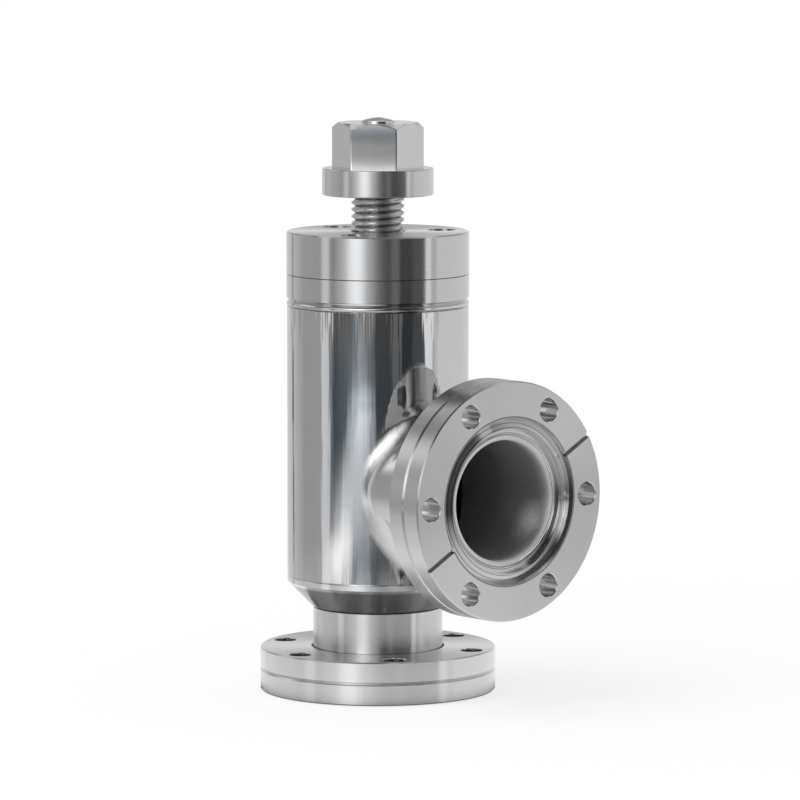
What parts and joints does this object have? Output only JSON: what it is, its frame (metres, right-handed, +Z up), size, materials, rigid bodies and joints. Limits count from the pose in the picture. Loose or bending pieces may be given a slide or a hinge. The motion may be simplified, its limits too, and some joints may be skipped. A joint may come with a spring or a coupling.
{
  "type": "vacuum angle valve",
  "caption": "Right-angle vacuum valve with bolted knife-edge flanges, a polished body tube and a hexagon-driven, bellows-sealed plate.",
  "frame": {"origin": "centre of the bottom flange's face, on the valve axis", "axes": "+Z up along the valve axis, +X along the side port's axis towards its flange"},
  "size_m": [0.0944, 0.0694, 0.1686],
  "materials": {
    "polished_steel": "mirror-polished stainless steel",
    "satin_steel": "finely turned stainless steel",
    "bellows_steel": "thin cleaned stainless sheet",
    "bronze": "turned bronze",
    "copper": "bare annealed copper",
    "bearing_steel": "ground bearing steel",
    "screw_steel": "stainless fastener"
  },
  "bodies": {
    "valve_body": {"bottom_flange": "satin_steel", "neck_tube": "satin_steel", "seat_reducer": "satin_steel", "body_shell": "polished_steel", "side_tube": "satin_steel", "side_flange": "satin_steel", "bonnet_ring": "satin_steel", "guide_bush": "bronze", "guide_pin": "screw_steel", "top_cover": "satin_steel", "cover_screws": "screw_steel", "spindle_nut": "bronze", "bellows_upper_collar": "satin_steel"},
    "plunger": {"plunger": "satin_steel", "lower_race": "bearing_steel", "upper_race": "bearing_steel", "thrust_balls": "bearing_steel", "ball_cage": "bronze", "bearing_cap": "screw_steel", "valve_plate": "satin_steel", "seal_pad": "copper", "pad_retainer": "satin_steel", "plate_screw": "screw_steel", "bellows_lower_collar": "satin_steel", "bellows": "bellows_steel"},
    "spindle": {"spindle": "satin_steel", "drive_key": "screw_steel", "drive_hex": "satin_steel", "hex_screw": "screw_steel"}
  },
  "joints": [
    {"name": "plunger_lift", "type": "slide", "parent": "valve_body", "child": "plunger", "axis": [0, 0, -1], "range_m": [0, 0.01], "deforming": ["bellows"]},
    {"name": "spindle_turn", "type": "hinge", "parent": "plunger", "child": "spindle", "pos_m": [0, 0, 0.12], "axis": [0, 0, -1], "range_deg": [0, 1800]}
  ],
  "couplings": [
    {"joint": "spindle_turn", "follows": "plunger_lift", "rad_per_m": 3141.5}
  ]
}
